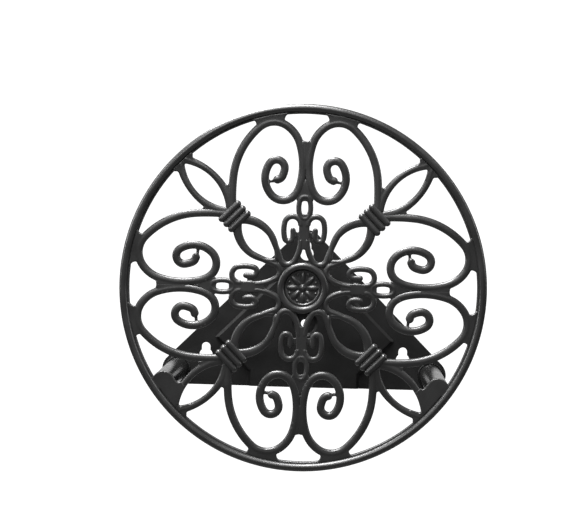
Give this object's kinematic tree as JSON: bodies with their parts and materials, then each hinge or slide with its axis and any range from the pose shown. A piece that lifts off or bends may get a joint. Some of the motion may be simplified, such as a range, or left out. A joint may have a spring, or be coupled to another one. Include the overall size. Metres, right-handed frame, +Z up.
{
  "type": "garden hose holder",
  "caption": "Wall-mounted garden hose holder: a round ornamental scrollwork face stands off a triangular keyhole plate on two tubular arms that carry the coiled hose.",
  "frame": {"origin": "centre of the upper keyhole's entry hole, on the wall plane", "axes": "+Z up, +Y into the wall, the face looks along -Y"},
  "size_m": [0.33, 0.1636, 0.33],
  "materials": {
    "face_coat": "charcoal black powder coat on a cast scrollwork face, satin",
    "plate_coat": "charcoal black powder coat on pressed sheet steel, satin",
    "arm_coat": "charcoal black powder coat on steel tube, semi gloss",
    "screw_finish": "black oxide"
  },
  "bodies": {
    "root": {"arm_left": "arm_coat", "arm_right": "arm_coat", "arm_screws": "screw_finish", "collar_lower_left": "face_coat", "collar_lower_right": "face_coat", "collar_upper_left": "face_coat", "collar_upper_right": "face_coat", "hub_bezel": "face_coat", "leaf_lower_left": "face_coat", "leaf_lower_right": "face_coat", "leaf_upper_left": "face_coat", "leaf_upper_right": "face_coat", "link_bottom": "face_coat", "link_left": "face_coat", "link_right": "face_coat", "link_top": "face_coat", "lug_left": "face_coat", "lug_right": "face_coat", "medallion": "face_coat", "outer_ring": "face_coat", "petal_lower_left": "face_coat", "petal_lower_right": "face_coat", "petal_upper_left": "face_coat", "petal_upper_right": "face_coat", "scroll_bottom_left_hand": "face_coat", "scroll_bottom_right_hand": "face_coat", "scroll_left_left_hand": "face_coat", "scroll_left_right_hand": "face_coat", "scroll_right_left_hand": "face_coat", "scroll_right_right_hand": "face_coat", "scroll_top_left_hand": "face_coat", "scroll_top_right_hand": "face_coat", "wall_plate": "plate_coat", "weld_left": "arm_coat", "weld_right": "arm_coat"}
  },
  "joints": []
}
